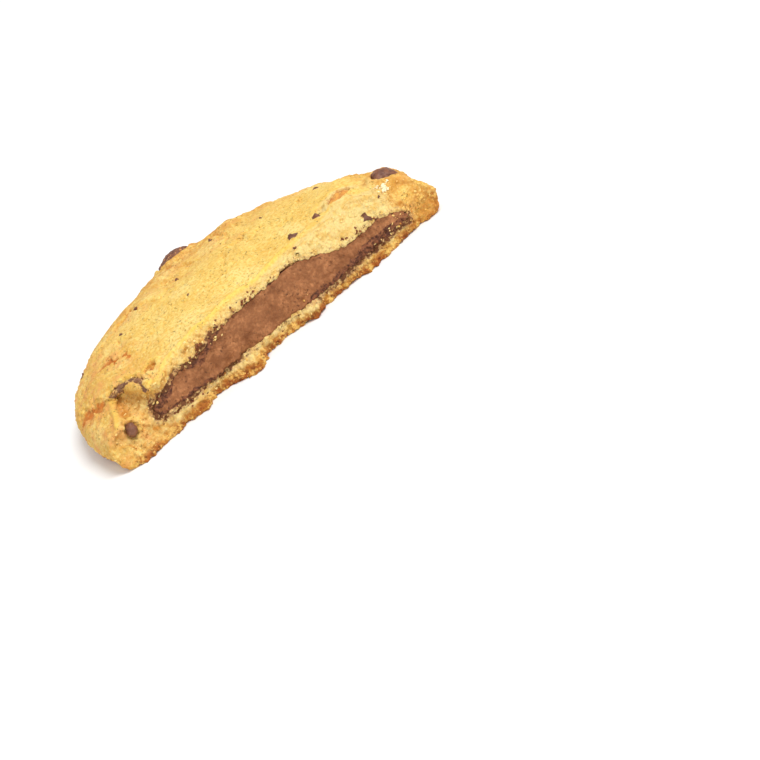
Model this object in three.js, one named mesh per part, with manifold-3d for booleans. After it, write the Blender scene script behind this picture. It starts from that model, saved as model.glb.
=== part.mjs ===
// Half of a round chocolate chip cookie, baked with a chocolate cream filling inside, and broken in two.
// Millimetres, +Z up. The half is modelled round the centre of the whole baked round: X runs along the
// break, the broken face looks towards -Y and the foot lies on Z = 0. The group then moves so that its
// origin is the middle of the footprint, on the surface that the cookie lies on.

import * as THREE from 'three';
import { mergeVertices } from 'three/addons/utils/BufferGeometryUtils.js';
import loadManifold from 'manifold-3d';

const manifold = await loadManifold();
manifold.setup();

// The baked round
const roundRadius = 33.5;
const roundHeight = 10.6;
const waistHeight = 3.5; // level of the widest ring
const footInset = 1.2; // the foot's edge lies this far inside the widest ring
const domePower = 2.6; // fullness of the dome, 2 is an ellipse
const trimDepth = 1.5; // the round starts this far below Z = 0 and is trimmed flat

// Lumps of the crust and of the outline: [size across, height]
const crustSwells = [[11, 0.42], [5, 0.2]];
const outlineSwells = [[16, 0.3], [6, 0.2]];
const outlineLayer = 40; // level at which the outline cuts through its lumps

// Where the outline leaves the circle: direction and half width in degrees, reach
const outlineBulges = [
  { angle: 157, half: 23, out: 0.9 },
  { angle: 110, half: 32, out: 0.4 },
  { angle: 2, half: 24, out: -0.7 },
];

// Raised flakes (lift above 0) and creases or dents (lift below 0) of the crust:
// place from the round's centre, half length, half width, turn of the length from X in degrees
const crustMarks = [
  { x: 3, y: 27.5, long: 15, wide: 8, turn: -4, lift: 0.8 },
  { x: 12, y: 27, long: 5, wide: 5, turn: -25, lift: 1.0 },
  { x: 18.5, y: 24.5, long: 5, wide: 3, turn: -30, lift: 0.35 },
  { x: 26, y: 10, long: 8, wide: 6, turn: 60, lift: 0.5 },
  { x: 31.5, y: 5.5, long: 7, wide: 5, turn: 75, lift: 1.0 },
  { x: -21.7, y: 10.6, long: 3.4, wide: 1.1, turn: 28, lift: -0.55 },
  { x: -30, y: 7.2, long: 2.8, wide: 1.2, turn: 62, lift: -0.6 },
  { x: -13.7, y: 21.9, long: 2.2, wide: 1.0, turn: 15, lift: -0.4 },
  { x: -8, y: 12, long: 6, wide: 3.2, turn: 20, lift: 0.3 },
  { x: 6, y: 15, long: 5, wide: 1.3, turn: -35, lift: -0.35 },
  { x: 24, y: 13, long: 4, wide: 1.4, turn: 50, lift: -0.4 },
  { x: -9, y: 28, long: 3.5, wide: 1.6, turn: -10, lift: -0.45 },
];

// The break, seen from above: it runs near Y = breakMiddle, with lobes that stand out of it (out below 0)
// or lie back. Each lobe has its place along X, its half width, how far out it reaches, and the heights
// between which it grows.
const breakMiddle = -2.5;
const breakLean = 0.9; // the torn crust rounds back by this much over its top
const crustTornFrom = 9.0;
const breakSwells = [[5, 0.3], [2.2, 0.4]];
const breakLobes = [
  { at: -27.2, half: 3.1, out: 6.4, from: 5.3, to: 6.7 },
  { at: -25.2, half: 2.7, out: 3.4, from: 5.8, to: 7.6 },
  { at: -21.8, half: 3.8, out: -1.7, from: 6.6, to: 8.6 },
  { at: 18.5, half: 12, out: 1.9, from: 5.8, to: 10 },
  { at: 29, half: 6.4, out: 1.6, from: 3.5, to: 7 },
  { at: 28.9, half: 3.4, out: 1.5, from: 5.8, to: 7.2 },
  { at: -28, half: 8.3, out: -2.0, from: 2.6, to: 0 },
  { at: -23.4, half: 1.6, out: -1.1, from: 1.2, to: 0 },
  { at: -17.6, half: 3.8, out: -1.5, from: 2.2, to: 0 },
  { at: -8.2, half: 4.2, out: -3.2, from: 2.4, to: 0 },
  { at: 4.8, half: 2.7, out: -1.3, from: 3.2, to: 1 },
  { at: 18.7, half: 6.4, out: -0.9, from: 2, to: 0 },
];
const breakCell = 1.06; // the broken face is worked in cells of this size
const fillingBreak = { roughness: 0.4, forward: 0.15 }; // smoother than the dough, and just proud of it

// The chocolate filling: a round layer with a thin edge, its top dented where the crust above it is thick
const fillingRadius = 26.6;
const fillingShift = 1.1; // its centre lies this far along X
const fillingEdge = { level: 3.3, fall: 0.018 }; // level of its thin edge, and how that falls along X
const fillingRise = 5.5;
const fillingDrop = 0.8;
const fillingFullness = { top: 0.55, bottom: 0.4 }; // below 1, the layer is thick near its edge too
const fillingSwells = { edge: [[5, 0.6]], bottom: [[6, 0.15]] };
const fillingDents = [
  { x: -15, y: -3, half: 4.2, deep: 1.3 },
  { x: 15.2, y: -2, half: 8.3, deep: 2.0 },
  { x: 24.5, y: 2, half: 7.2, deep: 0.9 },
  { x: -4, y: 14, half: 11, deep: 0.7 },
];

// Clearance between pieces that lie in each other
const gap = 0.3;

// Chips and nut pieces that lie in the crust: place, half sizes, turn, share of the half height sunk,
// and how many degrees a piece at the break leans out of it
const crustPieces = [
  { name: 'chip_right_end', kind: 'chip', x: 28.9, y: 2.5, size: [2.2, 2.1, 1.05], turn: 60,
    sunk: 0.95, lean: 28 },
  { name: 'chip_back_slope', kind: 'chip', x: 1.2, y: 30.2, size: [3.1, 1.9, 1.2], turn: -6, sunk: 0.25 },
  { name: 'chip_rim_back_right', kind: 'chip', x: 18, y: 28, size: [2.3, 2.0, 1.5], turn: 35, sunk: 0.5 },
  { name: 'chip_rim_back_left', kind: 'chip', x: -13, y: 31, size: [2.2, 1.9, 1.4], turn: -35, sunk: 0.6 },
  { name: 'nut_left', kind: 'nut', x: -20.5, y: 0.3, size: [1.1, 0.8, 0.7], turn: 25, sunk: 0.6 },
  { name: 'nut_right', kind: 'nut', x: 20.8, y: 3.6, size: [2.4, 1.4, 0.9], turn: 25, sunk: 0.7 },
  { name: 'nut_rim_back', kind: 'nut', x: 26.4, y: 20.6, size: [1.8, 1.4, 1.1], turn: 5, sunk: 0.5 },
];

// A chip sheared by the break, and the rest of one along the back wall of the hollow beside it
const shearedChip = { x: -29.1, y: -2.6, z: 4.7, size: [0.85, 0.9, 1.2], turn: 30 };
const chipRest = { x: -27.0, y: -0.2, radius: 3.9, startAngle: 96, endAngle: -38, thick: 0.45, sunk: 0.2 };

// How finely the curved faces are split
const roundDetail = 21;
const fillingDetail = 9;
const largePiece = 1.5; // half size from which a chip gets the finer ball

const dough = new THREE.MeshStandardMaterial({ color: 0xdcab52, roughness: 0.85, metalness: 0 });
const chocolate = new THREE.MeshStandardMaterial({ color: 0xa8734c, roughness: 0.6, metalness: 0 });
const chip = new THREE.MeshStandardMaterial({ color: 0x5b3222, roughness: 0.45, metalness: 0 });
const nut = new THREE.MeshStandardMaterial({ color: 0xc98432, roughness: 0.6, metalness: 0 });

const upwards = new THREE.Vector3(0, 0, 1);
const alongBreak = new THREE.Vector3(1, 0, 0);
const { degToRad, radToDeg, lerp } = THREE.MathUtils;

// Smooth step from 0 to 1 while value goes from start to end, in either direction
function smoothStep(value, start, end) {
  const t = Math.min(1, Math.max(0, (value - start) / (end - start)));
  return t * t * (3 - 2 * t);
}

// A round hump, 1 in its middle and 0 from distance 1 outwards
function hump(distance) {
  const inside = Math.max(0, 1 - distance * distance);
  return inside * inside;
}

function cornerValue(i, j, k) {
  const wave = Math.sin(i * 127.1 + j * 311.7 + k * 74.7) * 43758.5453;
  return 2 * (wave - Math.floor(wave)) - 1;
}

// Smooth random swell between about -1 and 1, its lumps `size` across, the same on every run
function swell(x, y, z, size) {
  const [u, v, w] = [x / size, y / size, z / size];
  const [i, j, k] = [Math.floor(u), Math.floor(v), Math.floor(w)];
  const [a, b, c] = [smoothStep(u - i, 0, 1), smoothStep(v - j, 0, 1), smoothStep(w - k, 0, 1)];
  let sum = 0;
  for (const [di, wi] of [[0, 1 - a], [1, a]]) {
    for (const [dj, wj] of [[0, 1 - b], [1, b]]) {
      for (const [dk, wk] of [[0, 1 - c], [1, c]]) {
        sum += wi * wj * wk * cornerValue(i + di, j + dj, k + dk);
      }
    }
  }
  return 1.5 * sum;
}

function swells(list, x, y, z) {
  return list.reduce((sum, [size, height]) => sum + height * swell(x, y, z, size), 0);
}

function markLift(mark, x, y) {
  const turn = degToRad(mark.turn);
  const along = (x - mark.x) * Math.cos(turn) + (y - mark.y) * Math.sin(turn);
  const across = (y - mark.y) * Math.cos(turn) - (x - mark.x) * Math.sin(turn);
  return mark.lift * hump(Math.hypot(along / mark.long, across / mark.wide));
}

// Radius of the round's outline in a direction from its centre
function outlineRadius(angle) {
  const [x, y] = [roundRadius * Math.cos(angle), roundRadius * Math.sin(angle)];
  const bulge = outlineBulges.reduce(
    (sum, b) => sum + b.out * hump((radToDeg(angle) - b.angle) / b.half), 0);
  return roundRadius + bulge + swells(outlineSwells, x, y, outlineLayer);
}

// Height of the crust over a place in the plan
function crustHeight(x, y) {
  const share = Math.min(1, Math.hypot(x, y) / outlineRadius(Math.atan2(y, x)));
  const dome = Math.sqrt(1 - share ** domePower);
  const marks = crustMarks.reduce((sum, mark) => sum + markLift(mark, x, y), 0);
  const relief = (swells(crustSwells, x, y, 0) + marks) * smoothStep(dome, 0.1, 0.5);
  return waistHeight + (roundHeight - waistHeight) * dome + relief;
}

function crustNormal(x, y) {
  const step = 0.8;
  const slopeX = (crustHeight(x + step, y) - crustHeight(x - step, y)) / (2 * step);
  const slopeY = (crustHeight(x, y + step) - crustHeight(x, y - step)) / (2 * step);
  return new THREE.Vector3(-slopeX, -slopeY, 1).normalize();
}

// Y of the broken face at a place along the break and a height
function breakFace(x, z) {
  const height = Math.min(z, roundHeight);
  const lobes = breakLobes.reduce(
    (sum, l) => sum + l.out * hump((x - l.at) / l.half) * smoothStep(height, l.from, l.to), 0);
  return breakMiddle + breakLean * smoothStep(height, crustTornFrom, roundHeight) + lobes;
}

// A copy of a geometry with only its positions, its shared vertices merged, and each of them moved
function reshape(geometry, move) {
  const bare = new THREE.BufferGeometry();
  bare.setAttribute('position', geometry.attributes.position.clone());
  bare.setIndex(geometry.index ? geometry.index.clone() : null);
  const merged = mergeVertices(bare, 1e-4);
  const position = merged.attributes.position;
  const point = new THREE.Vector3();
  for (let i = 0; i < position.count; i++) {
    point.fromBufferAttribute(position, i);
    move(point);
    position.setXYZ(i, point.x, point.y, point.z);
  }
  return merged;
}

function toSolid(geometry) {
  const mesh = new manifold.Mesh({
    numProp: 3,
    vertProperties: new Float32Array(geometry.attributes.position.array),
    triVerts: new Uint32Array(geometry.index.array),
  });
  return new manifold.Manifold(mesh);
}

function toMesh(name, solid, material) {
  const { vertProperties, triVerts } = solid.getMesh();
  const geometry = new THREE.BufferGeometry();
  geometry.setAttribute('position', new THREE.BufferAttribute(vertProperties, 3));
  geometry.setIndex(new THREE.BufferAttribute(triVerts, 1));
  geometry.computeVertexNormals();
  const mesh = new THREE.Mesh(geometry, material);
  mesh.name = name;
  return mesh;
}

// The whole baked round. A ball's points are spread evenly over the dome, and some of its lower half
// makes the wall that draws in under the waist.
function bakedRound() {
  const wallShare = 0.15;
  const ball = new THREE.IcosahedronGeometry(1, roundDetail);
  return toSolid(reshape(ball, (point) => {
    const angle = Math.atan2(point.y, point.x);
    const radius = outlineRadius(angle);
    const tip = Math.abs(point.z);
    if (point.z >= 0) {
      const reach = radius * Math.sqrt(1 - tip);
      const [x, y] = [reach * Math.cos(angle), reach * Math.sin(angle)];
      point.set(x, y, crustHeight(x, y));
      return;
    }
    const fall = (waistHeight + trimDepth) * Math.min(1, tip / wallShare);
    const spread = Math.sqrt(1 - Math.max(0, tip - wallShare) / (1 - wallShare));
    const reach = (radius - footInset * (fall / waistHeight) ** 2) * spread;
    point.set(reach * Math.cos(angle), reach * Math.sin(angle), waistHeight - fall);
  }));
}

// What the break takes away in front: a block whose back is worn to the broken face
function breakBlock(roughness, forward) {
  const [wide, deep, tall, lowest] = [76, 50, 16, -2];
  const [cellsWide, cellsTall] = [Math.round(wide / breakCell), Math.round(tall / breakCell)];
  const block = new THREE.BoxGeometry(wide, deep, tall, cellsWide, 1, cellsTall);
  return toSolid(reshape(block, (point) => {
    const [x, z] = [point.x, point.z + tall / 2 + lowest];
    const face = breakFace(x, z) - forward + roughness * swells(breakSwells, x, 7, z);
    point.set(x, point.y > 0 ? face : -deep, z);
  }));
}

// The filling's round layer, grown by a clearance for the space that it lies in
function fillingLayer(growth) {
  const ball = new THREE.IcosahedronGeometry(1, fillingDetail);
  return toSolid(reshape(ball, (point) => {
    const angle = Math.atan2(point.y, point.x);
    const tip = Math.abs(point.z);
    const edgeSwell = swells(fillingSwells.edge, 9 * Math.cos(angle), 9 * Math.sin(angle), 3);
    const reach = (fillingRadius + growth + edgeSwell) * Math.sqrt(1 - tip);
    const [x, y] = [fillingShift + reach * Math.cos(angle), reach * Math.sin(angle)];
    const edge = fillingEdge.level - fillingEdge.fall * x;
    if (point.z < 0) {
      const drop = (fillingDrop + growth) * tip ** fillingFullness.bottom;
      point.set(x, y, edge - drop + tip * swells(fillingSwells.bottom, x, y, 5));
      return;
    }
    const dents = fillingDents.reduce(
      (sum, d) => sum + d.deep * hump(Math.hypot(x - d.x, y - d.y) / d.half), 0);
    const rise = (fillingRise + growth) * tip ** fillingFullness.top;
    point.set(x, y, edge + rise - dents * smoothStep(tip, 0, 0.4));
  }));
}

// A chip or nut piece: a ball pressed to its half sizes, a little lumpy, with blunt corners
function nugget(size, growth, seed) {
  const ball = new THREE.IcosahedronGeometry(1, Math.max(...size) > largePiece ? 2 : 1);
  return reshape(ball, (point) => {
    const lump = 1 + 0.09 * swell(point.x + seed, point.y, point.z, 0.9);
    const blunt = 1.12 - 0.105 * (point.x ** 4 + point.y ** 4);
    const [a, b, c] = size.map((half) => lump * blunt * (half + growth));
    point.set(a * point.x, b * point.y, c * point.z);
  });
}

// A piece that lies in the crust, upright on the slope there
function inCrust(piece, growth) {
  const shape = nugget(piece.size, growth, piece.x + piece.y);
  const normal = crustNormal(piece.x, piece.y);
  normal.applyAxisAngle(alongBreak, degToRad(piece.lean ?? 0));
  const place = new THREE.Vector3(piece.x, piece.y, crustHeight(piece.x, piece.y));
  place.addScaledVector(normal, -piece.size[2] * piece.sunk);
  const turn = new THREE.Quaternion().setFromUnitVectors(upwards, normal);
  turn.multiply(new THREE.Quaternion().setFromAxisAngle(upwards, degToRad(piece.turn)));
  shape.applyQuaternion(turn);
  shape.translate(place.x, place.y, place.z);
  return toSolid(shape);
}

function inBreak(piece, growth) {
  const shape = nugget(piece.size, growth, 3);
  shape.rotateY(degToRad(piece.turn));
  shape.translate(piece.x, piece.y, piece.z);
  return toSolid(shape);
}

// The rest of a chip along the back of the hollow: an arc that thins towards both ends
function chipArc(growth) {
  const [sides, steps] = [8, 18];
  const rod = new THREE.CylinderGeometry(1, 1, 1, sides, steps);
  return toSolid(reshape(rod, (point) => {
    const along = 0.5 - point.y;
    const angle = degToRad(lerp(chipRest.startAngle, chipRest.endAngle, along));
    const thick = chipRest.thick * lerp(0.3, 1, Math.sin(Math.PI * along)) + growth;
    const reach = chipRest.radius + point.x * thick;
    const middleX = chipRest.x + chipRest.radius * Math.cos(angle);
    const middleY = chipRest.y + chipRest.radius * Math.sin(angle);
    point.set(
      chipRest.x + reach * Math.cos(angle),
      chipRest.y + reach * Math.sin(angle),
      crustHeight(middleX, middleY) - chipRest.sunk + point.z * thick,
    );
  }));
}

// All that lies below the foot
function underFoot() {
  const deep = 10;
  const block = new THREE.BoxGeometry(3 * roundRadius, 3 * roundRadius, deep);
  block.translate(0, 0, -deep / 2);
  return toSolid(reshape(block, () => {}));
}

function doughHalf() {
  let half = bakedRound().subtract(underFoot()).subtract(breakBlock(1, 0));
  half = half.subtract(fillingLayer(gap));
  for (const piece of crustPieces) half = half.subtract(inCrust(piece, gap));
  half = half.subtract(inBreak(shearedChip, gap)).subtract(chipArc(gap));
  return toMesh('dough', half, dough);
}

function fillingHalf() {
  const broken = breakBlock(fillingBreak.roughness, fillingBreak.forward);
  return toMesh('filling', fillingLayer(0).subtract(broken), chocolate);
}

const cookie = new THREE.Group();
cookie.add(doughHalf(), fillingHalf());
for (const piece of crustPieces) {
  cookie.add(toMesh(piece.name, inCrust(piece, 0), piece.kind === 'nut' ? nut : chip));
}
cookie.add(toMesh('chip_break_left', inBreak(shearedChip, 0), chip));
cookie.add(toMesh('chip_arc_left', chipArc(0), chip));

const box = new THREE.Box3().setFromObject(cookie);
const middle = box.getCenter(new THREE.Vector3());
cookie.position.set(-middle.x, -middle.y, -box.min.z);

export default cookie;
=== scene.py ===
import math
import random

import bpy
from mathutils import Matrix, Vector, kdtree, noise
from mathutils.bvhtree import BVHTree


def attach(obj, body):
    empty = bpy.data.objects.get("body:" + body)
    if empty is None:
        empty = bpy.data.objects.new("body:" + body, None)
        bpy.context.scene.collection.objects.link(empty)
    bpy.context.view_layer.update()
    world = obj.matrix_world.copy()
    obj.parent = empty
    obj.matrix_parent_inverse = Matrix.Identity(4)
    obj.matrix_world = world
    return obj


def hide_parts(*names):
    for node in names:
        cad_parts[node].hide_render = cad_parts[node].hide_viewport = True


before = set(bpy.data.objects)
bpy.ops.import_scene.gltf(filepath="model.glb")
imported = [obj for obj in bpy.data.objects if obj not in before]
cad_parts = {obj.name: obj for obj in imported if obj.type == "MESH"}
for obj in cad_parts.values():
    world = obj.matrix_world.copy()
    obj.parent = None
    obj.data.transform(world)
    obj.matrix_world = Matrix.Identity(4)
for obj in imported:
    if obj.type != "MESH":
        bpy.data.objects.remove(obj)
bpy.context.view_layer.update()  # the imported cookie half: bodies, nodes, joints and record

mm = 0.001
bakedRound = {  # the whole round that the half was broken from
    "middle": Vector((0.493, -13.827, 0)) * mm,
    "radius": 33.5 * mm,
    "height": 10.6 * mm,
    "waist": 3.5 * mm,
    "fullness": 2.6,
}


def spot(x, y, z):  # a place in millimetres from the middle of the round, X along the break
    return bakedRound["middle"] + Vector((x, y, z)) * mm


def smoothStep(value, start, end):  # 0 at start and 1 at end, whichever of them is higher
    t = min(1, max(0, (value - start) / (end - start)))
    return t * t * (3 - 2 * t)


def domeHeight(place):  # the even dome of the round, without its lumps
    out = place - bakedRound["middle"]
    share = min(1, math.hypot(out.x, out.y) / bakedRound["radius"])
    rise = bakedRound["height"] - bakedRound["waist"]
    return bakedRound["waist"] + rise * math.sqrt(1 - share ** bakedRound["fullness"])


# Handling objects
def pickOnly(*objects):
    if bpy.context.mode != "OBJECT":
        bpy.ops.object.mode_set(mode="OBJECT")
    bpy.ops.object.select_all(action="DESELECT")
    for obj in objects:
        obj.select_set(True)
    bpy.context.view_layer.objects.active = objects[0]


def applyModifier(obj, kind, **settings):
    pickOnly(obj)
    modifier = obj.modifiers.new(kind.title(), kind)
    for key, value in settings.items():
        setattr(modifier, key, value)
    bpy.ops.object.modifier_apply(modifier=modifier.name)


def joinInto(obj, others):
    pickOnly(obj, *others)
    bpy.ops.object.join()
    return obj


def removeAll(objects):
    for obj in objects:
        bpy.data.objects.remove(obj)


def copyOfNode(node, name):  # the node's faces in a new piece, welded where they meet
    piece = bpy.data.objects.new(name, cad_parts[node].data.copy())
    piece.data.name = name
    piece.data.materials.clear()
    bpy.context.scene.collection.objects.link(piece)
    pickOnly(piece)
    bpy.ops.object.mode_set(mode="EDIT")
    bpy.ops.mesh.select_all(action="SELECT")
    bpy.ops.mesh.remove_doubles(threshold=0.001 * mm)
    bpy.ops.object.mode_set(mode="OBJECT")
    return piece


def finishPiece(piece, slot, material, *nodes):  # nodes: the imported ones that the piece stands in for
    piece.data.materials.clear()
    piece.data.materials.append(material)
    pickOnly(piece)
    bpy.ops.object.shade_smooth()
    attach(piece, "root")
    if nodes:
        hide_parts(*nodes)
    print(f"{piece.name}: {len(piece.data.polygons)} faces")


def weightGroup(obj, name, weights):  # one weight for each point, which modifiers read by its name
    group = obj.vertex_groups.new(name=name)
    for i, weight in enumerate(weights):
        if weight > 0:
            group.add([i], weight, "REPLACE")


def floatLayer(obj, name, values):  # one value for each point, which materials read by its name
    obj.data.attributes.new(name, "FLOAT", "POINT").data.foreach_set("value", values)


def applyRelief(obj, kind, size, height, group, level=0.5):  # lumps of that size and height, in millimetres
    texture = bpy.data.textures.new(kind.lower() + "Relief", kind)
    texture.noise_scale = size * mm
    applyModifier(obj, "DISPLACE", texture=texture, texture_coords="LOCAL", strength=height * mm,
                  mid_level=level, vertex_group=group)


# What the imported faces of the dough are: the foot, the pocket of the filling, the break or the crust
sorting = {
    "footLevel": 0.05 * mm,
    "pocketGap": 0.45 * mm,  # the pocket's wall is no further than this from the filling
    "crustBand": 1.15 * mm,  # the crust's lumps stay this close to the even dome
    "rimBand": 2.2 * mm,  # the side of the round lies in this band
    "breakReach": 5.5 * mm,  # no face of the break lies further back than this
    "turnedBack": 0.2, "turnedFront": -0.5,  # share of a face's normal that points back
}


def treeOf(*nodes):  # their faces in a search tree
    points, faces = [], []
    for node in nodes:
        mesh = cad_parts[node].data
        faces += [[len(points) + i for i in p.vertices] for p in mesh.polygons]
        points += [v.co for v in mesh.vertices]
    return BVHTree.FromPolygons(points, faces)


def faceKind(face):
    out = face.center - bakedRound["middle"]
    if face.center.z < sorting["footLevel"]:
        return "foot"
    if fillingTree.find_nearest(face.center)[3] < sorting["pocketGap"]:
        return "pocket"
    if out.y > sorting["breakReach"] or face.normal.y > sorting["turnedBack"]:
        return "crust"
    onRim = math.hypot(out.x, out.y) > bakedRound["radius"] - sorting["rimBand"]
    onDome = abs(face.center.z - domeHeight(face.center)) < sorting["crustBand"]
    if (onRim or onDome) and face.normal.y > sorting["turnedFront"]:
        return "crust"
    return "torn"


bitNodes = sorted(set(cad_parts) - {"dough", "filling"})  # the chips and nut pieces
fillingTree = treeOf("filling")
bitsTree = treeOf(*bitNodes)
nutTree = treeOf(*(node for node in bitNodes if node.startswith("nut")))
arcTree = treeOf("chip_arc_left")
wholeTree = treeOf(*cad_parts)
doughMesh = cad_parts["dough"].data
doughFaces = {"foot": [], "pocket": [], "crust": [], "torn": []}
for face in doughMesh.polygons:
    doughFaces[faceKind(face)].append(face)
corners = [v.co for v in doughMesh.vertices]
crustTree = BVHTree.FromPolygons(corners, [f.vertices for f in doughFaces["crust"]])
tornTree = BVHTree.FromPolygons(corners, [f.vertices for f in doughFaces["torn"]])
print("faces of the dough:", {kind: len(faces) for kind, faces in doughFaces.items()})


def randomSpot(face, rng, points=None):
    a, b, c = ((points or corners)[i] for i in face.vertices)
    u, v = rng.random(), rng.random()
    if u + v > 1:
        u, v = 1 - u, 1 - v
    return a + (b - a) * u + (c - a) * v


# Lumps: one rough ball of each shape is made, and copied to every place
lump = {"roughness": 0.42, "flattened": (1, 0.86, 0.74)}


def lumpShapes(name, seeds, subdivisions=2):
    shapes = []
    for seed in seeds:
        bpy.ops.mesh.primitive_ico_sphere_add(subdivisions=subdivisions, radius=1)
        ball = bpy.context.object
        ball.name = f"{name}Shape{seed}"
        bpy.ops.object.mode_set(mode="EDIT")
        bpy.ops.mesh.select_all(action="SELECT")
        bpy.ops.transform.vertex_random(offset=lump["roughness"], uniform=0.5, normal=0.5, seed=seed)
        bpy.ops.transform.resize(value=lump["flattened"])
        bpy.ops.object.mode_set(mode="OBJECT")
        shapes.append(ball)
    return shapes


def scatter(name, shapes, places, rng):  # places: (place, radius) of each lump, and what else it has
    made = []
    for place, radius, *_ in places:
        copied = bpy.data.objects.new(name, rng.choice(shapes).data.copy())
        spin = Matrix.Rotation(rng.uniform(0, math.tau), 4, "Z")
        tilt = Matrix.Rotation(rng.uniform(0, math.tau), 4, "X")
        copied.data.transform(Matrix.Translation(place) @ (spin @ tilt) @ Matrix.Scale(radius, 4))
        bpy.context.scene.collection.objects.link(copied)
        made.append(copied)
    joined = joinInto(made[0], made[1:])
    removeAll(shapes)
    joined.name = joined.data.name = name
    for v in joined.data.vertices:  # none goes below the surface that the cookie lies on
        v.co.z = max(0, v.co.z)
    return joined


# Camera
camera = {
    "azimuth": -19, "elevation": 25, "roll": 31.5,  # degrees
    "distance": 420 * mm,
    "focus": 2736,  # focal length in pixels of the render
    "width": 760,  # of the render, in pixels
    "middleAt": (282, 332),  # pixel at which the round's middle lands
    "sensor": 36,  # millimetres
}


def addCamera(c):
    a, e, r = (math.radians(c[k]) for k in ("azimuth", "elevation", "roll"))
    back = Vector((math.sin(a) * math.cos(e), -math.cos(a) * math.cos(e), math.sin(e)))
    right = (-back).cross(Vector((0, 0, 1))).normalized()
    up = right.cross(-back)
    axes = Matrix((right * math.cos(r) - up * math.sin(r), right * math.sin(r) + up * math.cos(r), back))
    half = c["width"] / 2
    u, v = c["middleAt"]
    sight = Vector(((u - half) / c["focus"], (half - v) / c["focus"], -1))
    aim = sight.rotation_difference(Vector((0, 0, -1)))
    data = bpy.data.cameras.new("camera")
    data.sensor_width = c["sensor"]
    data.lens = c["sensor"] * c["focus"] / c["width"]
    data.clip_start = 10 * mm
    view = bpy.data.objects.new("camera", data)
    view.rotation_mode = "QUATERNION"
    view.rotation_quaternion = axes.transposed().to_quaternion() @ aim
    view.location = bakedRound["middle"] + back * c["distance"]
    bpy.context.scene.collection.objects.link(view)
    bpy.context.scene.camera = view
    return back, view.rotation_quaternion @ Vector((0, 1, 0))


towardsCamera, pictureUp = addCamera(camera)

# Floor and light
studio = {  # metres and watts
    "floorSize": 30,
    "floorColour": (0.93, 0.93, 0.93, 1),
    "world": 0.66,
    "key": {"distance": 0.9, "size": 0.55, "power": 5.9},
    "fill": {"distance": 1.0, "size": 0.9, "power": 1.2},
}


def addSoftLight(name, direction, distance, size, power):
    light = bpy.data.lights.new(name, "AREA")
    light.shape = "DISK"
    light.size = size
    light.energy = power
    lamp = bpy.data.objects.new(name, light)
    lamp.location = direction.normalized() * distance
    lamp.rotation_mode = "QUATERNION"
    lamp.rotation_quaternion = direction.to_track_quat("Z", "Y")
    bpy.context.scene.collection.objects.link(lamp)


def addStudio(s):
    bpy.ops.mesh.primitive_plane_add(size=s["floorSize"])
    floor = bpy.context.object
    floor.name = "floor"
    material = bpy.data.materials.new("paleFloor")
    material.use_nodes = True
    shader = material.node_tree.nodes["Principled BSDF"]
    shader.inputs["Base Color"].default_value = s["floorColour"]
    shader.inputs["Roughness"].default_value = 0.9
    floor.data.materials.append(material)
    world = bpy.data.worlds.new("paleRoom")
    world.use_nodes = True
    world.node_tree.nodes["Background"].inputs["Color"].default_value = (1, 1, 1, 1)
    world.node_tree.nodes["Background"].inputs["Strength"].default_value = s["world"]
    bpy.context.scene.world = world
    addSoftLight("keyLight", pictureUp * 0.8 + towardsCamera * 0.6, **s["key"])
    addSoftLight("fillLight", towardsCamera + Vector((-0.6, 0, 0.1)), **s["fill"])
    bpy.context.scene.view_settings.view_transform = "Standard"


addStudio(studio)
print("camera, floor and light are in place")


# Material building
def tone(red, green, blue):  # a colour by its 0-255 screen values
    def linear(value):
        value /= 255
        return value / 12.92 if value <= 0.04045 else ((value + 0.055) / 1.055) ** 2.4
    return (linear(red), linear(green), linear(blue), 1)


def feed(tree, socket, value):  # a plain value, or a link to another node's output
    if isinstance(value, bpy.types.NodeSocket):
        tree.links.new(value, socket)
    else:
        socket.default_value = value


def inputOf(node, name):  # the input with that name, written without its spaces
    return next(s for s in node.inputs if s.name.replace(" ", "") == name and s.enabled)


def addNode(tree, kind, settings=None, **inputs):
    node = tree.nodes.new(kind)
    for key, value in (settings or {}).items():
        setattr(node, key, value)
    for name, value in inputs.items():
        feed(tree, inputOf(node, name), value)
    return node


def calculate(tree, operation, first, second):
    node = addNode(tree, "ShaderNodeMath", {"operation": operation})
    feed(tree, node.inputs[0], first)
    feed(tree, node.inputs[1], second)
    return node.outputs[0]


def times(tree, first, second):
    return calculate(tree, "MULTIPLY", first, second)


def plus(tree, first, second):
    return calculate(tree, "ADD", first, second)


def blend(tree, share, under, over):
    node = addNode(tree, "ShaderNodeMix", {"data_type": "RGBA"}, Factor=share, A=under, B=over)
    return node.outputs[2]


def ramp(tree, value, start, end):  # 0 at start and 1 at end, whichever of them is higher
    (low, atLow), (high, atHigh) = sorted([(start, 0), (end, 1)])
    node = addNode(tree, "ShaderNodeMapRange", {"interpolation_type": "SMOOTHSTEP"}, Value=value,
                   FromMin=low, FromMax=high, ToMin=atLow, ToMax=atHigh)
    return node.outputs["Result"]


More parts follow.
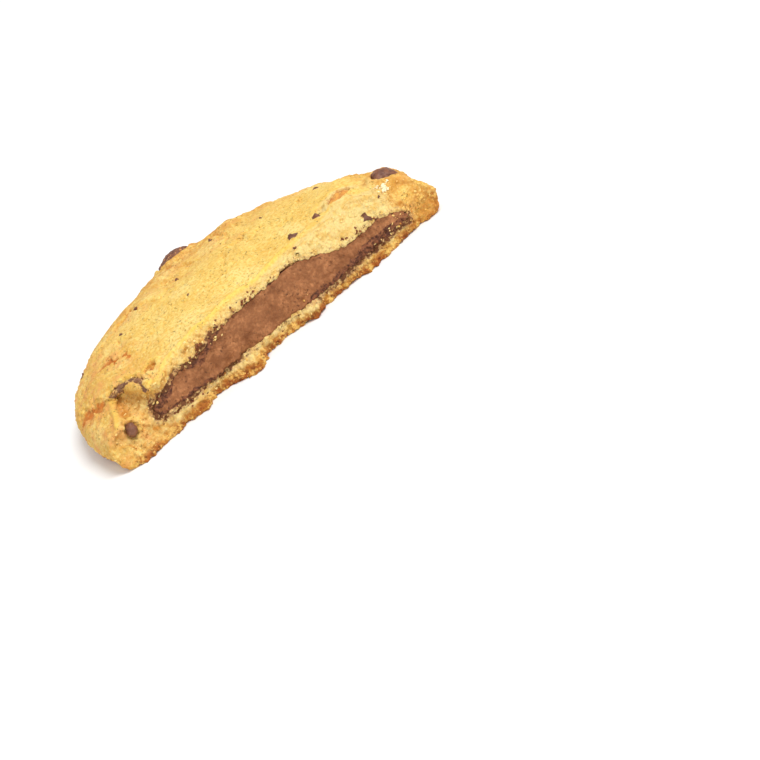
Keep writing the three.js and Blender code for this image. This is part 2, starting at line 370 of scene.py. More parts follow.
def makeGrainGroup():  # uneven grain from 0 to 1, its size in millimetres
    group = bpy.data.node_groups.new("grain", "ShaderNodeTree")
    for label, default in {"Size": 0.5, "Detail": 3, "Sharpness": 1}.items():
        socket = group.interface.new_socket(label, in_out="INPUT", socket_type="NodeSocketFloat")
        socket.default_value = default
    group.interface.new_socket("Value", in_out="OUTPUT", socket_type="NodeSocketFloat")
    start = addNode(group, "NodeGroupInput").outputs
    steps = calculate(group, "DIVIDE", 1 / mm, start["Size"])
    place = addNode(group, "ShaderNodeTexCoord").outputs["Object"]
    scaled = addNode(group, "ShaderNodeVectorMath", {"operation": "SCALE"}, Vector=place, Scale=steps)
    cloudy = addNode(group, "ShaderNodeTexNoise", Vector=scaled.outputs["Vector"], Scale=1,
                     Detail=start["Detail"], Roughness=0.6)
    half = calculate(group, "DIVIDE", 0.25, start["Sharpness"])
    low = calculate(group, "SUBTRACT", 0.5, half)
    high = calculate(group, "ADD", 0.5, half)
    spread = addNode(group, "ShaderNodeMapRange", Value=cloudy.outputs["Fac"], FromMin=low, FromMax=high)
    addNode(group, "NodeGroupOutput", Value=spread.outputs["Result"])
    return group


grainGroup = makeGrainGroup()


def grain(tree, size, detail=3, sharpness=1):
    node = addNode(tree, "ShaderNodeGroup", {"node_tree": grainGroup},
                   Size=size, Detail=detail, Sharpness=sharpness)
    return node.outputs["Value"]


def grainPatches(tree, size, limits, patchSize, patchLimits):  # small spots that lie together in patches
    spots = ramp(tree, grain(tree, size, 2), *limits)
    return times(tree, spots, ramp(tree, grain(tree, patchSize, 2), *patchLimits))


def layer(tree, name):  # what is painted on the piece's points under that name
    return addNode(tree, "ShaderNodeAttribute", {"attribute_name": name}).outputs["Fac"]


def brokenUp(tree, name, by, share):  # a painted layer with its border broken up by grain
    return plus(tree, layer(tree, name), times(tree, by, share))


def bump(tree, height, depth, under=None):
    node = addNode(tree, "ShaderNodeBump", Height=height, Strength=1, Distance=depth)
    if under:
        tree.links.new(under, node.inputs["Normal"])
    return node.outputs["Normal"]


def newMaterial(name, **shaderValues):
    material = bpy.data.materials.new(name)
    material.use_nodes = True
    shader = material.node_tree.nodes["Principled BSDF"]
    for key, value in shaderValues.items():
        inputOf(shader, key).default_value = value
    return material, material.node_tree, shader


def setSurface(tree, shader, colour, normal):
    tree.links.new(colour, shader.inputs["Base Color"])
    tree.links.new(normal, shader.inputs["Normal"])


# Dough
doughLook = {
    "crust": tone(246, 212, 118),
    "crustDeep": tone(226, 174, 76),
    "crustLight": tone(251, 224, 144),
    "blush": tone(240, 174, 104),
    "browned": tone(204, 128, 58),
    "crumb": tone(252, 222, 146),
    "crumbDeep": tone(238, 194, 106),
    "golden": tone(246, 198, 106),
    "goldenDeep": tone(204, 136, 54),
    # the turned edge's colour, also painted on the hollow's edge as a painted highlight
    "lip": tone(252, 214, 98),
    "foot": tone(174, 96, 38),
    "footDeep": tone(122, 62, 26),
    "stain": tone(200, 112, 40),
    # painted shade in pores and pits
    "pore": tone(128, 88, 34),
    "smear": tone(122, 76, 46),
    "dust": tone(204, 148, 104),
}


def crustColour(tree, look, patches, speckle, coarse):
    colour = blend(tree, times(tree, patches, 0.65), look["crust"], look["crustDeep"])
    pale = times(tree, ramp(tree, grain(tree, 7, 4, 1.5), 0.45, 0.9), 0.6)
    colour = blend(tree, pale, colour, look["crustLight"])
    colour = blend(tree, times(tree, ramp(tree, speckle, 0.5, 1), 0.8), colour, look["crustDeep"])
    colour = blend(tree, times(tree, ramp(tree, speckle, 0.35, 0), 0.5), colour, look["crustLight"])
    blush = times(tree, layer(tree, "blush"), ramp(tree, grain(tree, 2.4, 5, 1.2), 0.3, 1))
    colour = blend(tree, blush, colour, look["blush"])
    browned = times(tree, layer(tree, "browning"), ramp(tree, coarse, 0.3, 0.85))
    return blend(tree, browned, colour, look["browned"])


def crumbColour(tree, look, coarse):
    crumb = blend(tree, ramp(tree, coarse, 0.3, 0.9), look["crumb"], look["crumbDeep"])
    golden = blend(tree, ramp(tree, coarse, 0.35, 0.8), look["golden"], look["goldenDeep"])
    deep = ramp(tree, brokenUp(tree, "golden", grain(tree, 0.9, 3, 1.3), 0.6), 0.55, 1.2)
    return blend(tree, deep, crumb, golden)


def bakedMarks(tree, look, colour, patches, coarse):  # the turned edge with a painted highlight on the hollow's edge, the foot, a warm tone with painted shade in the hollow, and stains
    # the turned edge, and the hollow's edge painted lighter as a painted highlight
    lip = times(tree, layer(tree, "lip"), ramp(tree, grain(tree, 2), 0, 0.5))
    colour = blend(tree, lip, colour, look["lip"])
    wide = times(tree, grain(tree, 3.4, 3, 1.7), 0.55)
    footPatches = plus(tree, times(tree, grain(tree, 0.5, 4, 1.8), 0.45), wide)
    foot = times(tree, layer(tree, "foot"), ramp(tree, footPatches, 0.25, 0.65))
    footTone = blend(tree, ramp(tree, grain(tree, 0.7, 4, 1.6), 0.5, 0.95), look["foot"], look["footDeep"])
    colour = blend(tree, foot, colour, footTone)
    warmPatches = plus(tree, coarse, times(tree, patches, 0.4))
    # a warm tone by zone, and painted shade at the foot of the hollow's wall
    warm = times(tree, layer(tree, "warm"), ramp(tree, warmPatches, 0.2, 0.9))
    colour = blend(tree, warm, colour, look["goldenDeep"])
    wide = times(tree, grain(tree, 2.2, 3, 1.4), 0.4)
    mottled = plus(tree, times(tree, grain(tree, 0.7, 5, 1.6), 0.7), wide)
    stain = times(tree, ramp(tree, plus(tree, layer(tree, "stain"), mottled), 0.9, 1.7), 0.9)
    return blend(tree, stain, colour, look["stain"])


def chocolateMarks(tree, look, colour):  # brown dust and smears round the filling and the chip's rest
    dust = ramp(tree, brokenUp(tree, "smear", grain(tree, 0.5, 4, 1.6), 0.7), 0.7, 1.3)
    colour = blend(tree, times(tree, dust, 0.6), colour, look["dust"])
    smear = ramp(tree, brokenUp(tree, "smear", grain(tree, 0.8, 4, 1.6), 0.9), 1.05, 1.5)
    return blend(tree, smear, colour, look["smear"])


def doughMaterial(look):
    material, tree, shader = newMaterial("bakedDough", Roughness=0.85, SpecularIORLevel=0.25,
                                         SubsurfaceWeight=0.1, SubsurfaceScale=0.5 * mm,
                                         SubsurfaceRadius=(1, 0.6, 0.25))
    patches = grain(tree, 4.5, 6, 1.4)
    speckle = grain(tree, 0.45, 4, 2)
    coarse = grain(tree, 1.3, 4, 1.3)
    torn = ramp(tree, brokenUp(tree, "torn", coarse, 0.4), 0.3, 1.1)
    colour = crustColour(tree, look, patches, speckle, coarse)
    colour = blend(tree, torn, colour, crumbColour(tree, look, coarse))
    colour = bakedMarks(tree, look, colour, patches, coarse)
    colour = chocolateMarks(tree, look, colour)
    # dark dots, pressed in by the bump, and the pressed pits are painted dark: painted shade in pores
    dots = grainPatches(tree, 0.36, (0.72, 0.9), 2.5, (0.3, 0.6))
    dots = times(tree, dots, ramp(tree, layer(tree, "torn"), 1.2, 0.2))  # fewer on the crumb
    dark = plus(tree, times(tree, dots, 0.65), times(tree, layer(tree, "pit"), 0.75))
    colour = blend(tree, dark, colour, look["pore"])
    normal = bump(tree, speckle, 0.085 * mm)
    tornGrain = times(tree, grain(tree, 0.4, 3, 1.4), layer(tree, "torn"))
    normal = bump(tree, tornGrain, 0.16 * mm, normal)
    setSurface(tree, shader, colour, bump(tree, times(tree, dots, -1), 0.15 * mm, normal))
    return material


dough = {
    "voxel": 0.2 * mm,
    "faces": 190000,  # triangles kept
    "seed": 11,
    "lumps": 3000,
    "lumpRadius": (0.16, 0.7),  # millimetres
    "lumpSunk": (-0.2, 0.7),  # share of its radius that a lump lies in the dough
    "coarse": [("z", 3.2, 1.2, 1), ("x", -17, -23, 0.6)],  # zones with the largest lumps
    "grainy": [("x", -14, -22, 1), ("x", 24, 29, 1), ("z", 5, 3, 1)],  # zones with the grainiest crust
    "smoothSteps": 90,
    "crustRelief": [(6, 0.5), (2.2, 0.24), (0.7, 0.16)],  # size and height, millimetres
    "granules": (0.8, 0.34),
    "tornRelief": [(1.1, 0.34), (0.6, 0.4)],
    "rimReach": 1.7, "rimRise": 0.42,  # the dough swells round each chip
    "lipGap": (0.65, 2.35), "lipHalf": 0.7, "lipRise": 0.3,  # the crust turns over along the break
    "pocketRise": 0.26,  # the crumb closes in on the filling
    "socketDepth": 0.77,  # the dough sinks under a chip that shows
    "bareFrom": (-9, -2), "bareDepth": 0.25,  # right of there the crust came off, and the crumb lies lower
    "pits": 90, "pitRadius": (0.16, 0.4), "pitDepth": 0.1,
    "cracks": 46, "crackReach": 29, "crackStep": 0.8, "crackSteps": (3, 9), "crackBend": 0.8,
}
colourZones = {  # axis from the round's middle, where the zone starts and where it is full, its strength
    "golden": [("z", 2.2, 0.8, 1), ("x", 22, 28, 0.8), ("x", -21, -25, 0.6)],
    # warm tone by zone; the painted shade in the hollow is added to this layer later
    "warm": [("x", 23, 30, 0.65), ("x", -15, -25, 0.3), ("y", 14, 26, 0.3)],
    "foot": [("z", 2.0, 0.6, 1)],
    "browning": [("z", 3.2, 1.2, 0.7), ("x", 30, 32.8, 1), ("y", 20, 28, 0.6)],
    "blush": [("x", -14, -24, 1), ("y", 12, 22, 0.6), ("x", 22, 28, 0.7)],
}
creases = [  # lines pressed into the crust: points from the round's middle, half width, depth and browning
    {"path": [(-24.4, 12.6), (-22.4, 11.4), (-20.9, 10.0), (-19.9, 8.2)],
     "half": 2.3, "deep": 0.35, "tint": 1.25},
    {"path": [(-29.2, 5.2), (-30.0, 6.6), (-30.9, 7.4), (-31.6, 8.6)],
     "half": 2.4, "deep": 0.55, "tint": 1.15},
    {"path": [(-15.8, 21.4), (-13.9, 21.9), (-12.0, 22.6)], "half": 0.9, "deep": 0.6, "tint": 1.2},
    {"path": [(12.0, 26.8), (14.0, 25.8), (16.2, 24.8), (18.3, 23.4)],
     "half": 1.3, "deep": 0.4, "tint": 0.8},
    {"path": [(27.4, 9.6), (29.0, 10.2)], "half": 1.1, "deep": 0.1, "tint": 0.8},
    {"path": [(-8.6, 24.8), (-10.4, 25.6)], "half": 1.0, "deep": 0.1, "tint": 0.7},
    {"path": [(3.4, 27.6), (5.2, 28.4), (7.4, 28.2)], "half": 1.3, "deep": 0.1, "tint": 0.7},
]
hollow = {  # painted shade at the foot of the wall on the left of the hollow, and the lit edge above it, raised and painted lighter as a painted highlight
    "path": [(-26.9, 3.2), (-27.7, 1.6), (-28.1, 0.2), (-28.6, -1.4), (-29.2, -3.0)], "half": 1.5,
    "edge": [(-27.6, 3.4), (-28.6, 1.6), (-29.2, 0.2), (-29.9, -1.3), (-30.8, -2.4), (-31.8, -2.7)],
    "edgeHalf": 0.7, "edgeRise": 0.35,
}
holes = [  # place and radius of holes that are pressed in and painted dark as painted shade
    ((26.2, -0.7, 8.0), 0.5), ((27.1, -0.9, 8.0), 0.4), ((25.7, -0.2, 8.2), 0.3), ((26.7, -0.4, 8.2), 0.35),
    ((-24.9, -3.2, 5.2), 0.45), ((8.0, -2.0, 9.4), 0.35),
]
pathStep = 0.12  # millimetres


def alongPath(path, step):  # evenly spaced points on a bent line
    points = []
    for (ax, ay), (bx, by) in zip(path, path[1:]):
        count = max(1, round(math.hypot(bx - ax, by - ay) / step))
        points += [(ax + (bx - ax) * i / count, ay + (by - ay) * i / count) for i in range(count)]
    return points + [path[-1]]


def randomCracks(d, rng):  # short bent cracks, wide and browned on the back of the crust, finer in front
    cracks = []
    for _ in range(d["cracks"]):
        reach, angle = d["crackReach"] * math.sqrt(rng.random()), rng.uniform(0.12, math.pi - 0.12)
        x, y = reach * math.cos(angle), reach * math.sin(angle)
        turn, path = rng.uniform(0, math.tau), [(x, y)]
        for _ in range(rng.randint(*d["crackSteps"])):
            turn += rng.uniform(-d["crackBend"], d["crackBend"])
            x, y = x + d["crackStep"] * math.cos(turn), y + d["crackStep"] * math.sin(turn)
            path.append((x, y))
        back = smoothStep(path[0][1], 6, 16)
        deep = rng.uniform(0.1, 0.2) + rng.uniform(0.1, 0.4) * back
        cracks.append({"path": path, "half": 0.35 + 0.2 * back, "deep": deep, "tint": 0.55 * back})
    return cracks


def plotPaths(paths):  # their points in a search tree, and the number of the path that each point is on
    marks = [(x, y, i) for i, path in enumerate(paths) for x, y in alongPath(path, pathStep)]
    tree = kdtree.KDTree(len(marks))
    for i, (x, y, _) in enumerate(marks):
        tree.insert((x, y, 0), i)
    tree.balance()
    return tree, [i for _, _, i in marks]


def plotPits(d, rng):  # the placed holes and the random pits in a search tree, and their radii
    pits = kdtree.KDTree(d["pits"] + len(holes))
    radii = [radius for _, radius in holes]
    for i, (place, _) in enumerate(holes):
        pits.insert(wholeTree.find_nearest(spot(*place))[0], i)
    crust = doughFaces["crust"]
    for face in rng.choices(crust, weights=[f.area for f in crust], k=d["pits"]):
        pits.insert(randomSpot(face, rng), len(radii))
        radii.append(rng.uniform(*d["pitRadius"]))
    pits.balance()
    return pits, radii


def zoneShare(out, zones):  # how far a place lies in the strongest of the zones
    return max(share * smoothStep(getattr(out, axis), start, full) for axis, start, full, share in zones)


def lumpSize(place, d, rng):
    low, high = d["lumpRadius"]
    coarse = zoneShare((place - bakedRound["middle"]) / mm, d["coarse"])
    return (low + (high - low) * (0.2 + 0.8 * coarse) * rng.random() ** 1.5) * mm


def crumbShare(face):  # crumbs lie thickest at the foot's edge, along the filling and at the left end
    out = (face.center - bakedRound["middle"]) / mm
    gap = fillingTree.find_nearest(face.center)[3] / mm
    left = smoothStep(out.x, -18, -24)
    inHollow = smoothStep(out.x, -23.5, -25) * smoothStep(out.z, 4.4, 5.2)
    thick = 0.4 + 1.6 * smoothStep(out.z, 2.0, 0.5) + 0.8 * smoothStep(gap, 1.6, 0.4) + 0.5 * left
    return face.area * thick * (1 - 0.8 * inHollow)


fieldTrees = {"crust": crustTree, "torn": tornTree, "filling": fillingTree,
              "bits": bitsTree, "nuts": nutTree, "arc": arcTree}


def surfaceFields(piece):  # how far each point lies from crust, break, filling and chips, in millimetres
    fields = []
    for v in piece.data.vertices:
        field = {name: tree.find_nearest(v.co)[3] / mm for name, tree in fieldTrees.items()}
        field["out"] = (v.co - bakedRound["middle"]) / mm
        fields.append(field)
    return fields


def crustShare(f, start=0.2, end=-0.4):  # 1 on the crust, 0 on the break
    return smoothStep(f["crust"] - f["torn"], start, end) * smoothStep(f["crust"], 0.9, 0.4)


def lipGap(f):  # how far the turned edge of the crust lies from the break: further back right of the middle
    near, far = dough["lipGap"]
    return near + (far - near) * smoothStep(f["out"].x, *dough["bareFrom"])


def bareShare(f):  # where the crust came off with the break and pale crumb shows
    x, _, z = f["out"]
    nearBreak = smoothStep(f["torn"], lipGap(f), lipGap(f) - 1)
    return nearBreak * smoothStep(x, *dough["bareFrom"]) * smoothStep(z, 6, 7)


def creaseWobble(out):  # a crease is uneven in width
    return 1 + 0.9 * noise.noise(out * 0.6) + 0.6 * noise.noise(out * 1.9)


def addCrumbLumps(piece, d, rng):  # crumbs over the break, and chips and nut pieces to close their sockets
    torn = doughFaces["torn"]
    places = []
    for face in rng.choices(torn, weights=[crumbShare(f) for f in torn], k=d["lumps"]):
        place = randomSpot(face, rng)
        radius = lumpSize(place, d, rng)
        places.append((place - face.normal * radius * rng.uniform(*d["lumpSunk"]), radius))
    lumps = scatter("crumbLumps", lumpShapes("crumb", (1, 2, 3)), places, rng)
    joinInto(piece, [lumps] + [copyOfNode(node, node) for node in bitNodes])


def raiseDough(piece, fields, d):  # smooths the crust, then gives crust and crumb their relief
    inner = [smoothStep(f["torn"], 0.5, 1.6) * smoothStep(f["crust"], 0.6, 0.3) for f in fields]
    weightGroup(piece, "crustInner", inner)
    weightGroup(piece, "onCrust", [crustShare(f) for f in fields])
    grainy = [crustShare(f) * max(0.3, zoneShare(f["out"], d["grainy"])) for f in fields]
    weightGroup(piece, "granular", grainy)
    weightGroup(piece, "onTorn", [smoothStep(f["crust"] - f["torn"], -0.1, 0.6) for f in fields])
    applyModifier(piece, "SMOOTH", factor=0.5, iterations=d["smoothSteps"], vertex_group="crustInner")
    applyModifier(piece, "SMOOTH", factor=0.4, iterations=2)
    for size, height in d["crustRelief"]:
        applyRelief(piece, "CLOUDS", size, height, "onCrust")
    size, height = d["granules"]
    applyRelief(piece, "VORONOI", size, -height, "granular")
    for size, height in d["tornRelief"]:
        applyRelief(piece, "VORONOI", size, -height, "onTorn")


def thinTo(piece, faces):  # down to that number of triangles
    applyModifier(piece, "TRIANGULATE")
    applyModifier(piece, "DECIMATE", ratio=min(1, faces / len(piece.data.polygons)))


def makeDough(d):
    rng = random.Random(d["seed"])
    piece = copyOfNode("dough", "bakedDough")
    addCrumbLumps(piece, d, rng)
    applyModifier(piece, "REMESH", mode="VOXEL", voxel_size=d["voxel"], adaptivity=0)
    print("dough remeshed:", len(piece.data.vertices), "points")
    fields = surfaceFields(piece)
    raiseDough(piece, fields, d)
    pressMarks(piece, fields, d, rng)
    thinTo(piece, d["faces"])
    paintDough(piece)
    return piece


def edgePress(f, d, edgeGap, onCrust):  # how deep the dough sinks along the break and round its pieces
    x, _, z = f["out"]
    rim = smoothStep(f["bits"], d["rimReach"], 0.5) * onCrust
    lip = smoothStep(abs(f["torn"] - lipGap(f)), 0.6, 0) * onCrust
    lip *= smoothStep(z, 6, 7.5) * smoothStep(x, 16, 6)
    lit = smoothStep(edgeGap, hollow["edgeHalf"], 0) * smoothStep(z, 6, 6.8)
    raised = d["rimRise"] * rim + d["lipRise"] * lip + hollow["edgeRise"] * lit
    raised += d["pocketRise"] * smoothStep(f["filling"], 0.6, 0.35)
    sunk = d["bareDepth"] * bareShare(f) * onCrust * smoothStep(f["bits"], 0.5, 1.5)
    return sunk + d["socketDepth"] * smoothStep(f["bits"], 0.35, 0.1) - raised


def pressMarks(piece, fields, d, rng):  # creases, cracks and pits go in, and the edges rise or sink
    pits, radii = plotPits(d, rng)
    edge, _ = plotPaths([hollow["edge"]])
    lines = creases + randomCracks(d, rng)
    lineTree, lineOf = plotPaths([line["path"] for line in lines])
    stains, pitShadeShares = [], []
    normals = [v.normal.copy() for v in piece.data.vertices]  # taken before any point moves
    for v, f, normal in zip(piece.data.vertices, fields, normals):
        x, y, z = f["out"]
        onCrust = crustShare(f, 0.3, -0.3)
        press = edgePress(f, d, edge.find((x, y, 0))[2], onCrust)
        stain = 0.55 * smoothStep(f["nuts"], 1.0, 0.1)
        if onCrust and z > 2:
            _, i, gap = lineTree.find((x, y, 0))
            line = lines[lineOf[i]]
            share = smoothStep(gap, max(0.1, line["half"] * creaseWobble(f["out"])), 0) * onCrust
            press += line["deep"] * share
            stain = max(stain, line["tint"] * share)
        _, i, gap = pits.find(v.co)
        share = smoothStep(gap / mm, radii[i], 0.3 * radii[i]) * (1 if i < len(holes) else onCrust)
        press += (d["pitDepth"] + radii[i]) * share
        v.co -= normal * press * mm
        v.co.z = max(0, v.co.z)
        stains.append(stain)
        pitShadeShares.append(share)
    floatLayer(piece, "stain", stains)
    # where the pits lie, painted dark as painted shade
    floatLayer(piece, "pit", pitShadeShares)
    piece.data.update()


def doughLayers(f, d, wallGap, edgeGap):  # what is painted at one point of the dough, by the layer's name
    x, _, z = f["out"]
    zoned = {name: zoneShare(f["out"], zones) for name, zones in colourZones.items()}
    torn = smoothStep(f["crust"] - f["torn"], -0.2, 0.5)
    leftEnd, rightEnd = smoothStep(x, -24, -28), smoothStep(x, 25.5, 28.5)
    lip = smoothStep(abs(f["torn"] - lipGap(f)), d["lipHalf"], 0.15) * smoothStep(f["crust"], 0.9, 0.4)
    lip *= smoothStep(z, 6, 7.5) * smoothStep(f["bits"], 0.2, 0.9) * smoothStep(x, -25.5, -23)
    # the edge over the hollow is painted lighter as a painted highlight, and painted shade lies at the foot
    # of the wall below it
    lit = smoothStep(edgeGap, hollow["edgeHalf"], 0.2) * smoothStep(z, 5.8, 6.6)
    hollowShade = smoothStep(wallGap, hollow["half"], 0.3) * smoothStep(z, 4.5, 5.5) * (1 - lit)
    topLeft = smoothStep(x, 0, -9) * smoothStep(z, 5, 6.5)
    lowRight = smoothStep(x, 2, 10) * smoothStep(z, 4.5, 3)
    tipRight = smoothStep(x, 29.5, 31.5) * smoothStep(z, 5.5, 3)
    messy = 0.5 + 0.5 * max(smoothStep(x, -5, -11), lowRight)
    return {
        "torn": max(torn, 0.8 * bareShare(f)) * (1 - 0.9 * rightEnd) * (1 - 0.6 * leftEnd),
        "golden": max(zoned["golden"], 0.6 * topLeft),
        # warm tone by zone, and the painted shade in the hollow on the break
        "warm": max(zoned["warm"], hollowShade * torn),
        # the turned edge, and the hollow's lit edge as a painted highlight
        "lip": max(0.6 * lit, lip * (0.1 + 0.5 * smoothStep(x, 16, 4))),
        "foot": max(zoned["foot"], 0.9 * tipRight) * (0.6 + 0.4 * torn),
        "browning": zoned["browning"] * (1 - torn),
        "blush": zoned["blush"],
        "smear": max(messy * smoothStep(f["filling"], 1.7, 0.35), 0.8 * smoothStep(f["arc"], 0.9, 0.2)),
    }


def paintDough(piece):
    wall, _ = plotPaths([hollow["path"]])
    edge, _ = plotPaths([hollow["edge"]])
    painted = []
    for f in surfaceFields(piece):
        level = (f["out"].x, f["out"].y, 0)
        painted.append(doughLayers(f, dough, wall.find(level)[2], edge.find(level)[2]))
    for name in painted[0]:
        floatLayer(piece, name, [layers[name] for layers in painted])


bakedDough = makeDough(dough)
finishPiece(bakedDough, "dough", doughMaterial(doughLook), "dough")


# Filling
fillingLook = {
    "cream": tone(194, 130, 82),
    "creamDeep": tone(132, 78, 40),
    "rough": tone(142, 86, 54),
    "roughDeep": tone(86, 46, 28),
}
filling = {
    "voxel": 0.18 * mm, "grow": 0.42 * mm, "seed": 5, "faces": 110000,
    "lumps": 1500, "lumpRadius": (0.16, 0.5), "lumpSunk": (0, 0.7),
    "roughEdge": 0.45,  # the cream is broken this far in from its border all along, in millimetres
    "waves": [(2.6, 0.7), (0.8, 0.34)],  # size and height, millimetres
    "roughRelief": (0.6, 0.4),
}


def fillingMaterial(look):
    material, tree, shader = newMaterial("chocolateCream", Roughness=0.6, SpecularIORLevel=0.3,
                                         SubsurfaceWeight=0.06, SubsurfaceScale=0.5 * mm,
                                         SubsurfaceRadius=(1, 0.5, 0.3))
    fine = grain(tree, 0.5, 4, 2)
    colour = blend(tree, grain(tree, 2.6, 5, 1.4), look["cream"], look["creamDeep"])
    colour = blend(tree, times(tree, fine, 0.6), colour, look["creamDeep"])
    rough = ramp(tree, brokenUp(tree, "rough", grain(tree, 1.1, 5, 1.6), 0.8), 0.75, 1.2)
    broken = blend(tree, ramp(tree, grain(tree, 0.55, 3, 1.6), 0.3, 0.8), look["rough"], look["roughDeep"])
    colour = blend(tree, rough, colour, broken)
    dots = grainPatches(tree, 0.4, (0.76, 0.92), 3, (0.4, 0.6))
    colour = blend(tree, times(tree, dots, 0.7), colour, look["roughDeep"])
    normal = bump(tree, fine, 0.1 * mm)
    setSurface(tree, shader, colour, bump(tree, times(tree, dots, -1), 0.2 * mm, normal))
    return material


def roughShare(place):  # where the cream broke into crumbs: most at its upper left and lower right edge
    x = (place.x - bakedRound["middle"].x) / mm
    border, _, _, gap = tornTree.find_nearest(place)
    if border.z > place.z:
        further = 1.3 * smoothStep(abs(x + 13), 4.5, 1.5) + 1.7 * smoothStep(x, -19, -21.5)
    else:
        further = 0.7 * smoothStep(x, -8, -13) + 1.4 * smoothStep(x, 2, 9) + 1.6 * smoothStep(x, 13, 19)
    reach = filling["roughEdge"] + further
    return smoothStep(gap / mm, reach, 0.45 * reach)


def addCreamLumps(piece, f, rng):  # rough lumps where the cream broke
    points = [v.co.copy() for v in piece.data.vertices]
    front = [face for face in piece.data.polygons if face.normal.y < -0.4]
    weights = [face.area * (0.01 + roughShare(face.center)) for face in front]
    places = []
    for face in rng.choices(front, weights=weights, k=f["lumps"]):
        radius = rng.uniform(*f["lumpRadius"]) * mm
        sunk = face.normal * radius
        places.append((randomSpot(face, rng, points) - sunk * rng.uniform(*f["lumpSunk"]), radius))
    joinInto(piece, [scatter("creamLumps", lumpShapes("creamLump", (4, 5)), places, rng)])


def makeFilling(f):
    rng = random.Random(f["seed"])
    piece = copyOfNode("filling", "chocolateCream")
    addCreamLumps(piece, f, rng)
    applyModifier(piece, "REMESH", mode="VOXEL", voxel_size=f["voxel"], adaptivity=0)
    inside, front, broken = [], [], []
    for v in piece.data.vertices:
        gap = tornTree.find_nearest(v.co)[3] / mm
        facing = v.normal.y
        inside.append(smoothStep(gap, 0.2, 0.8) * smoothStep(facing, -0.8, -0.3))
        front.append(smoothStep(facing, -0.35, -0.7))
        broken.append(smoothStep(facing, -0.2, -0.5) * roughShare(v.co))
    weightGroup(piece, "inside", inside)
    weightGroup(piece, "front", front)
    weightGroup(piece, "broken", broken)
    applyModifier(piece, "DISPLACE", strength=f["grow"], mid_level=0, vertex_group="inside")
    applyModifier(piece, "SMOOTH", factor=0.5, iterations=2)
    for size, height in f["waves"]:
        applyRelief(piece, "CLOUDS", size, height, "front")
    size, height = f["roughRelief"]
    applyRelief(piece, "VORONOI", size, -height, "broken", level=0.4)
    thinTo(piece, f["faces"])
    floatLayer(piece, "rough", [roughShare(v.co) for v in piece.data.vertices])
    return piece


chocolateCream = makeFilling(filling)
finishPiece(chocolateCream, "filling", fillingMaterial(fillingLook), "filling")


# Chips and nut pieces
chipLook = {"top": tone(142, 90, 60), "deep": tone(86, 46, 32), "dust": tone(214, 150, 92)}
dustyLook = {"top": tone(150, 106, 72), "deep": tone(96, 58, 40), "dust": tone(216, 170, 106)}
nutLook = {"top": tone(236, 174, 76), "deep": tone(188, 110, 38), "dust": tone(252, 214, 124)}


def sweetMaterial(name, look, roughness, dusty, dustSize=0.4):  # dusty: share that fine crumbs cover
    material, tree, shader = newMaterial(name, Roughness=roughness, SpecularIORLevel=0.45)
    colour = blend(tree, grain(tree, 1.1, 5, 1.3), look["top"], look["deep"])
    dust = ramp(tree, grain(tree, dustSize, 4, 1.2), 1 - dusty, 1.3 - dusty)
    normal = bump(tree, grain(tree, 0.5), 0.08 * mm)
    setSurface(tree, shader, blend(tree, dust, colour, look["dust"]), bump(tree, dust, 0.06 * mm, normal))
    return material


chipMaterial = sweetMaterial("chocolateChip", chipLook, 0.42, 0.15)
crumbedChipMaterial = sweetMaterial("crumbedChip", chipLook, 0.5, 0.4, 0.6)
dustyChipMaterial = sweetMaterial("dustyChip", dustyLook, 0.7, 0.52, 0.8)
nutMaterial = sweetMaterial("toastedNut", nutLook, 0.65, 0.3)
bit = {
    "voxel": 0.13 * mm, "grow": 0.1 * mm,
    "growOf": {"chip_arc_left": 0.25 * mm, "chip_break_left": -0.1 * mm},
    "facets": {"chip_break_left": 36},  # faces of a piece that broke with sharp corners
    "relief": [(2.2, 0.7), (0.7, 0.34)],  # size and height, millimetres
}


def makeBit(node, name, b):
    piece = copyOfNode(node, name)
    if node in b["facets"]:
        applyModifier(piece, "DECIMATE", ratio=b["facets"][node] / len(piece.data.polygons))
    applyModifier(piece, "REMESH", mode="VOXEL", voxel_size=b["voxel"], adaptivity=0)
    applyModifier(piece, "SMOOTH", factor=0.5, iterations=3 if node in b["facets"] else 8)
    applyModifier(piece, "DISPLACE", strength=b["growOf"].get(node, b["grow"]), mid_level=0)
    for size, height in b["relief"]:
        applyRelief(piece, "CLOUDS", size, height, "")
    return piece


for node in bitNodes:
    words = node.split("_")
    name = words[0] + "".join(word.title() for word in words[1:])
    kind = words[0]
    plain = nutMaterial if kind == "nut" else chipMaterial
    material = {"chip_arc_left": dustyChipMaterial, "chip_back_slope": crumbedChipMaterial}.get(node, plain)
    finishPiece(makeBit(node, name, bit), kind, material, node)


# Chips too small for a node of their own
specks = {
    "seed": 3,
    "sunk": 0.4,  # share of its radius that a speck lies in the crust
    "places": [  # from the round's middle, and radius, in millimetres
        (15.7, 2.9, 10, 0.9), (10.3, 2.5, 10, 1.0), (8.4, -1.2, 10, 0.3), (-6.5, 9.5, 10, 0.3),
        (-11.3, 20.4, 8, 0.35), (3.5, 12.0, 10, 0.28), (13.0, 17.5, 9, 0.5), (-17.0, 16.5, 9, 0.4),
        (22.5, 15.0, 8, 0.55), (-24.5, 19.0, 6, 0.6), (6.0, 24.0, 8, 0.5), (-3.5, 20.0, 9, 0.35),
        (20.5, -2.5, 7.1, 1.0), (27.6, -2.4, 0.9, 0.5), (-7.0, -4.5, 1.6, 0.4), (24.6, -1.8, 8.2, 0.35),
    ],
}


def makeSpecks(s):
    rng = random.Random(s["seed"])
    places = []
    for x, y, z, radius in s["places"]:
        place, normal, _, _ = wholeTree.find_nearest(spot(x, y, z))
        places.append((place - normal * radius * mm * s["sunk"], radius * mm))
    return scatter("chipSpecks", lumpShapes("speck", (6, 7)), places, rng)


